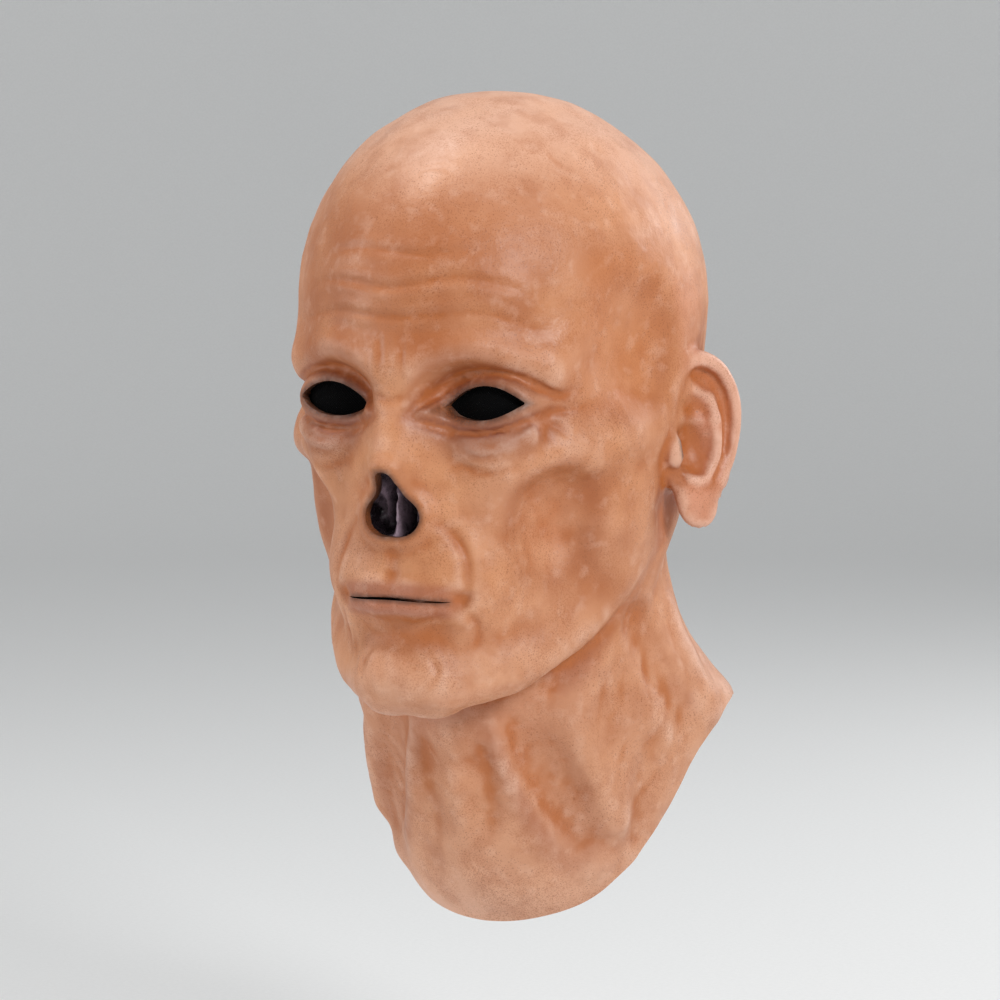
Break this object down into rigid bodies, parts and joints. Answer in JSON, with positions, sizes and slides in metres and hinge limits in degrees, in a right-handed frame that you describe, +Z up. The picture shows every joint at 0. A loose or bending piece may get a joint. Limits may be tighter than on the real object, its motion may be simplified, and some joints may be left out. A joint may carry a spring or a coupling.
{
  "type": "overhead latex costume mask",
  "caption": "Hollow overhead latex costume mask of a bald, gaunt head with a bib neck, mesh eye panels and a strapped rear slit.",
  "frame": {"origin": "on the head's vertical axis, level with the lowest point of the bib's hem", "axes": "+Z up to the crown, -Y where the face looks, +X the wearer's left"},
  "size_m": [0.1945, 0.2201, 0.3575],
  "materials": {
    "latex": "satin, airbrushed skin tones outside, raw cream inside",
    "dark_latex": "gloss",
    "mesh": "woven",
    "foam": "open-cell foam",
    "backing": "knitted",
    "label": "woven satin",
    "webbing": "woven",
    "hook_tape": "moulded hooks",
    "loop_tape": "brushed loops",
    "rivet": "antique",
    "washer": "zinc plated"
  },
  "bodies": {
    "mask": {"mask_skin": "latex", "nasal_liner": "dark_latex", "eye_screen_left": "mesh", "eye_screen_right": "mesh", "mouth_screen": "mesh", "forehead_pad": "foam", "crown_pad": "foam", "temple_pad_left": "foam", "temple_pad_right": "foam", "slit_patch": "backing", "under_flap": "backing", "care_label": "label", "upper_strap_anchor": "webbing", "lower_strap_anchor": "webbing", "upper_loop_patch": "loop_tape", "lower_loop_patch": "loop_tape", "strap_rivets": "rivet", "rivet_washers": "washer"},
    "upper_strap_end": {"upper_strap": "webbing", "upper_hook_patch": "hook_tape"},
    "lower_strap_end": {"lower_strap": "webbing", "lower_hook_patch": "hook_tape"}
  },
  "joints": [
    {"name": "upper_strap_peel", "type": "hinge", "parent": "mask", "child": "upper_strap_end", "pos_m": [0.012, 0.08149, 0.172], "axis": [0, 0.0594, -0.9982], "range_deg": [0, 150]},
    {"name": "lower_strap_peel", "type": "hinge", "parent": "mask", "child": "lower_strap_end", "pos_m": [0.012, 0.09152, 0.13], "axis": [0, 0.4244, -0.9055], "range_deg": [0, 150]}
  ]
}
